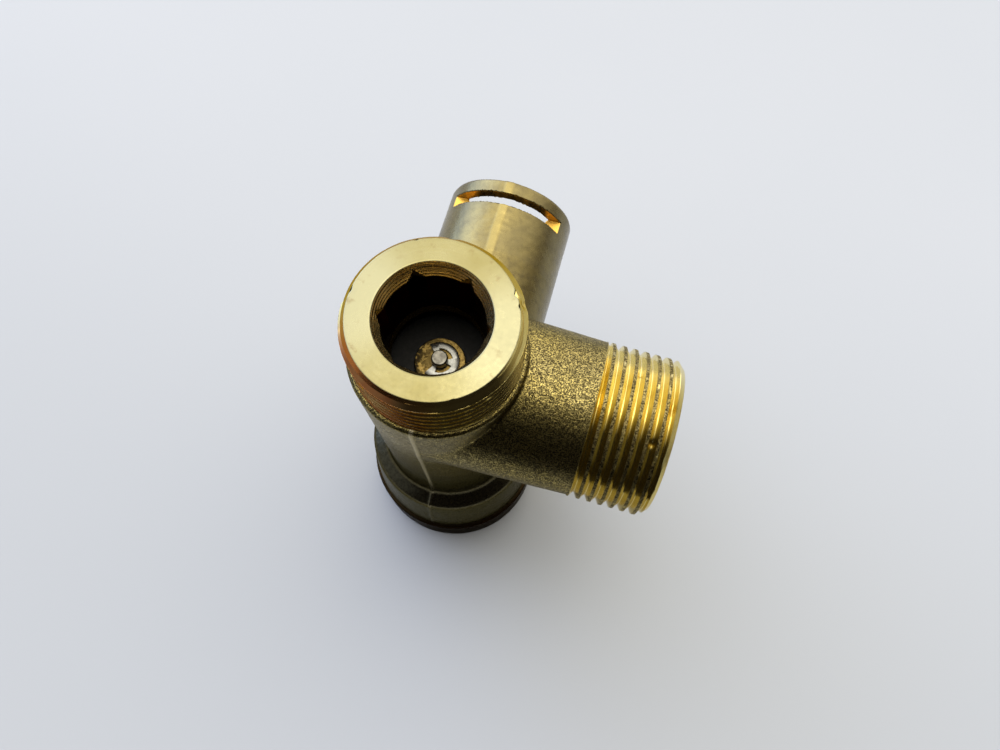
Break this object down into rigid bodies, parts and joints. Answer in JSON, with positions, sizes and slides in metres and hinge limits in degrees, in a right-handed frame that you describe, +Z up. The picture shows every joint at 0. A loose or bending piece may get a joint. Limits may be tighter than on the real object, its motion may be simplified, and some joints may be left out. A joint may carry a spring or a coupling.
{
  "type": "three-way diverter valve",
  "caption": "Brass three-way diverter valve: threaded top and side ports, a clip socket at the back, and a sprung stem with two sealing discs.",
  "frame": {"origin": "centre of the base face, at the actuator end", "axes": "+Z up along the stem towards the top port, +X out of the threaded side port, +Y out of the clip socket"},
  "size_m": [0.0564, 0.0633, 0.09],
  "materials": {
    "cast_brass": "blasted casting with bright turned ports",
    "turned_brass": "turned",
    "stainless": "turned",
    "spring_steel": "bright",
    "black_rubber": "matt moulded"
  },
  "bodies": {
    "housing": {"valve_body": "cast_brass", "seat_cage": "turned_brass", "cage_o_ring": "black_rubber", "bonnet": "turned_brass", "bonnet_o_ring": "black_rubber", "stem_o_ring_upper": "black_rubber", "stem_o_ring_lower": "black_rubber", "o_ring_spacer": "turned_brass", "gland_washer": "turned_brass", "bonnet_retaining_ring": "spring_steel", "return_spring": "spring_steel"},
    "stem_group": {"stem": "stainless", "upper_e_clip": "spring_steel", "upper_hub_washer": "turned_brass", "upper_disc": "black_rubber", "upper_backing_washer": "turned_brass", "spacer_sleeve": "turned_brass", "lower_backing_washer": "turned_brass", "lower_disc": "black_rubber", "lower_hub_washer": "turned_brass", "lower_e_clip": "spring_steel", "spring_cap": "turned_brass", "cap_e_clip": "spring_steel"}
  },
  "joints": [
    {"name": "stem_slide", "type": "slide", "parent": "housing", "child": "stem_group", "axis": [0, 0, 1], "range_m": [0, 0.004], "stiffness_N_per_m": 2500, "springref_m": -0.004, "deforming": ["return_spring"]}
  ]
}
